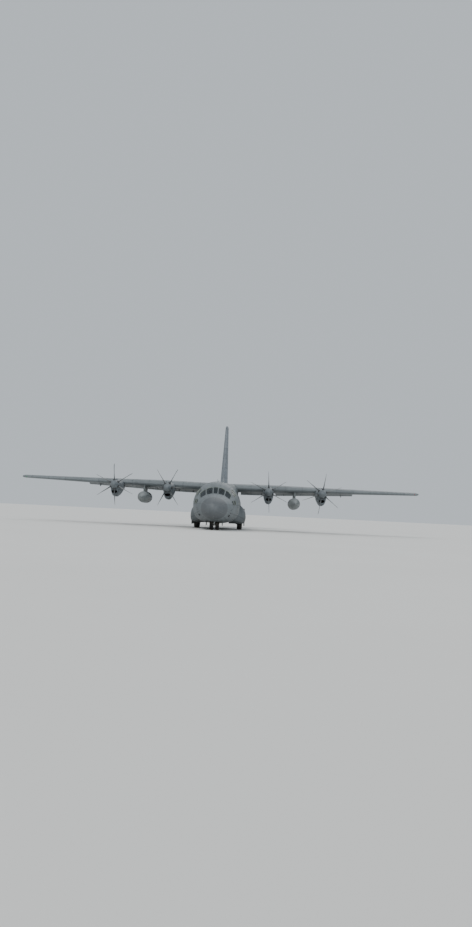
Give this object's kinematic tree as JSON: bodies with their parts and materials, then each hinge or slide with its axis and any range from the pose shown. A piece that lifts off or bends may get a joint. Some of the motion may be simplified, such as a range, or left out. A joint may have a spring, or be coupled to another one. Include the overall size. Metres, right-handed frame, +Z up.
{
  "type": "military transport aeroplane, half-size model",
  "caption": "High-wing turboprop military transport at half size, with six-bladed propellers, underwing tanks, rear loading ramp, crew door and movable control surfaces.",
  "frame": {"origin": "on the ground, below the middle of the length and of the span, as it stands on its wheels", "axes": "+X towards the port wing tip, +Y towards the tail, +Z up"},
  "size_m": [20.205, 14.895, 5.92],
  "materials": {
    "airframe": "matt grey paint",
    "radome": "matt darker grey",
    "interior": "matt interior paint",
    "seat": "woven",
    "glazing": "clear, dark cabin behind",
    "blade": "satin dark grey composite",
    "gear_metal": "gloss white-grey paint",
    "rim": "satin",
    "tyre": "matt"
  },
  "bodies": {
    "airframe": {"nose_radome": "radome", "nose_wheel_bay": "airframe", "forward_fuselage": "airframe", "centre_fuselage": "airframe", "rear_fuselage": "airframe", "troop_door_port": "airframe", "troop_door_starboard": "airframe", "cargo_floor": "interior", "flight_deck": "interior", "cockpit_fittings": "seat", "cockpit_glass": "glazing", "stabiliser": "airframe", "fin": "airframe", "wing_centre": "airframe", "wing_port": "airframe", "wing_starboard": "airframe", "nacelle_port_inner": "airframe", "nacelle_port_outer": "airframe", "nacelle_starboard_inner": "airframe", "nacelle_starboard_outer": "airframe", "fuel_tank_port": "airframe", "fuel_tank_starboard": "airframe", "sponson_port": "airframe", "sponson_starboard": "airframe", "main_leg_port": "gear_metal", "main_leg_starboard": "gear_metal", "nose_leg": "gear_metal", "nose_gear_door_port": "airframe", "nose_gear_door_starboard": "airframe"},
    "crew_door": {"crew_door": "airframe"},
    "cargo_ramp": {"cargo_ramp": "airframe"},
    "cargo_door": {"cargo_door": "airframe"},
    "elevator_port": {"elevator_port": "airframe"},
    "elevator_starboard": {"elevator_starboard": "airframe"},
    "rudder": {"rudder": "airframe"},
    "aileron_port": {"aileron_port": "airframe"},
    "aileron_starboard": {"aileron_starboard": "airframe"},
    "inner_flap_port": {"inner_flap_port": "airframe"},
    "inner_flap_starboard": {"inner_flap_starboard": "airframe"},
    "outer_flap_port": {"outer_flap_port": "airframe"},
    "outer_flap_starboard": {"outer_flap_starboard": "airframe"},
    "propeller_port_inner": {"propeller_port_inner": "blade"},
    "propeller_port_outer": {"propeller_port_outer": "blade"},
    "propeller_starboard_inner": {"propeller_starboard_inner": "blade"},
    "propeller_starboard_outer": {"propeller_starboard_outer": "blade"},
    "main_wheel_port_front": {"main_rim_port_front": "rim", "main_tyre_port_front": "tyre"},
    "main_wheel_port_rear": {"main_rim_port_rear": "rim", "main_tyre_port_rear": "tyre"},
    "main_wheel_starboard_front": {"main_rim_starboard_front": "rim", "main_tyre_starboard_front": "tyre"},
    "main_wheel_starboard_rear": {"main_rim_starboard_rear": "rim", "main_tyre_starboard_rear": "tyre"},
    "nose_steering": {"nose_fork": "gear_metal"},
    "nose_wheels": {"nose_wheel_rims": "rim", "nose_tyre_port": "tyre", "nose_tyre_starboard": "tyre"}
  },
  "joints": [
    {"name": "propeller_port_inner_spin", "type": "hinge", "parent": "airframe", "child": "propeller_port_inner", "pos_m": [2.475, -3.2375, 1.92], "axis": [0, -1, 0], "continuous": true},
    {"name": "propeller_port_outer_spin", "type": "hinge", "parent": "airframe", "child": "propeller_port_outer", "pos_m": [5.08, -3.2375, 1.955], "axis": [0, -1, 0], "continuous": true},
    {"name": "propeller_starboard_inner_spin", "type": "hinge", "parent": "airframe", "child": "propeller_starboard_inner", "pos_m": [-2.475, -3.2375, 1.92], "axis": [0, -1, 0], "continuous": true},
    {"name": "propeller_starboard_outer_spin", "type": "hinge", "parent": "airframe", "child": "propeller_starboard_outer", "pos_m": [-5.08, -3.2375, 1.955], "axis": [0, -1, 0], "continuous": true},
    {"name": "main_wheel_port_front_spin", "type": "hinge", "parent": "airframe", "child": "main_wheel_port_front", "pos_m": [1.0875, -1.2275, 0.355], "axis": [1, 0, 0], "continuous": true},
    {"name": "main_wheel_port_rear_spin", "type": "hinge", "parent": "airframe", "child": "main_wheel_port_rear", "pos_m": [1.0875, -0.4675, 0.355], "axis": [1, 0, 0], "continuous": true},
    {"name": "main_wheel_starboard_front_spin", "type": "hinge", "parent": "airframe", "child": "main_wheel_starboard_front", "pos_m": [-1.0875, -1.2275, 0.355], "axis": [1, 0, 0], "continuous": true},
    {"name": "main_wheel_starboard_rear_spin", "type": "hinge", "parent": "airframe", "child": "main_wheel_starboard_rear", "pos_m": [-1.0875, -0.4675, 0.355], "axis": [1, 0, 0], "continuous": true},
    {"name": "nose_steer", "type": "hinge", "parent": "airframe", "child": "nose_steering", "pos_m": [0, -5.7325, 0.6], "axis": [0, 0, 1], "range_deg": [-60, 60]},
    {"name": "nose_wheels_spin", "type": "hinge", "parent": "nose_steering", "child": "nose_wheels", "pos_m": [0, -5.7325, 0.2475], "axis": [1, 0, 0], "continuous": true},
    {"name": "crew_door_hinge", "type": "hinge", "parent": "airframe", "child": "crew_door", "pos_m": [0.80677, -5.4225, 0.535], "axis": [0.1168, 0.9932, 0], "range_deg": [0, 110]},
    {"name": "cargo_ramp_hinge", "type": "hinge", "parent": "airframe", "child": "cargo_ramp", "pos_m": [0, 1.5525, 0.5], "axis": [-1, 0, 0], "range_deg": [0, 37]},
    {"name": "cargo_door_hinge", "type": "hinge", "parent": "airframe", "child": "cargo_door", "pos_m": [0, 5.3625, 1.895], "axis": [-1, 0, 0], "range_deg": [0, 17]},
    {"name": "rudder_hinge", "type": "hinge", "parent": "airframe", "child": "rudder", "pos_m": [0, 6.3275, 2.65], "axis": [0, 0.0487, 0.9988], "range_deg": [-35, 35]},
    {"name": "elevator_port_hinge", "type": "hinge", "parent": "airframe", "child": "elevator_port", "pos_m": [0.43, 6.39803, 2.31], "axis": [0.9977, -0.0684, 0], "range_deg": [-15, 40]},
    {"name": "elevator_starboard_hinge", "type": "hinge", "parent": "airframe", "child": "elevator_starboard", "pos_m": [-0.43, 6.39803, 2.31], "axis": [0.9977, 0.0684, 0], "range_deg": [-15, 40]},
    {"name": "aileron_port_hinge", "type": "hinge", "parent": "airframe", "child": "aileron_port", "pos_m": [6.92, -0.26172, 2.15339], "axis": [0.9964, -0.0832, 0.0171], "range_deg": [-15, 25]},
    {"name": "aileron_starboard_hinge", "type": "hinge", "parent": "airframe", "child": "aileron_starboard", "pos_m": [-6.92, -0.26172, 2.15339], "axis": [0.9964, 0.0832, -0.0171], "range_deg": [-15, 25]},
    {"name": "inner_flap_port_hinge", "type": "hinge", "parent": "airframe", "child": "inner_flap_port", "pos_m": [1.4, 0.05858, 1.8288], "axis": [-0.9999, 0, -0.0131], "range_deg": [-15, 21]},
    {"name": "inner_flap_starboard_hinge", "type": "hinge", "parent": "airframe", "child": "inner_flap_starboard", "pos_m": [-1.4, 0.05858, 1.8288], "axis": [-0.9999, 0, 0.0131], "range_deg": [-15, 21]},
    {"name": "outer_flap_port_hinge", "type": "hinge", "parent": "airframe", "child": "outer_flap_port", "pos_m": [3.32, 0.01611, 1.85924], "axis": [-0.9965, 0.0807, -0.0211], "range_deg": [-15, 21]},
    {"name": "outer_flap_starboard_hinge", "type": "hinge", "parent": "airframe", "child": "outer_flap_starboard", "pos_m": [-3.32, 0.01611, 1.85924], "axis": [-0.9965, -0.0807, 0.0211], "range_deg": [-15, 21]}
  ],
  "couplings": [
    {"joint": "elevator_starboard_hinge", "follows": "elevator_port_hinge", "ratio": 1},
    {"joint": "inner_flap_starboard_hinge", "follows": "inner_flap_port_hinge", "ratio": 1},
    {"joint": "outer_flap_port_hinge", "follows": "inner_flap_port_hinge", "ratio": 1},
    {"joint": "outer_flap_starboard_hinge", "follows": "inner_flap_port_hinge", "ratio": 1}
  ]
}
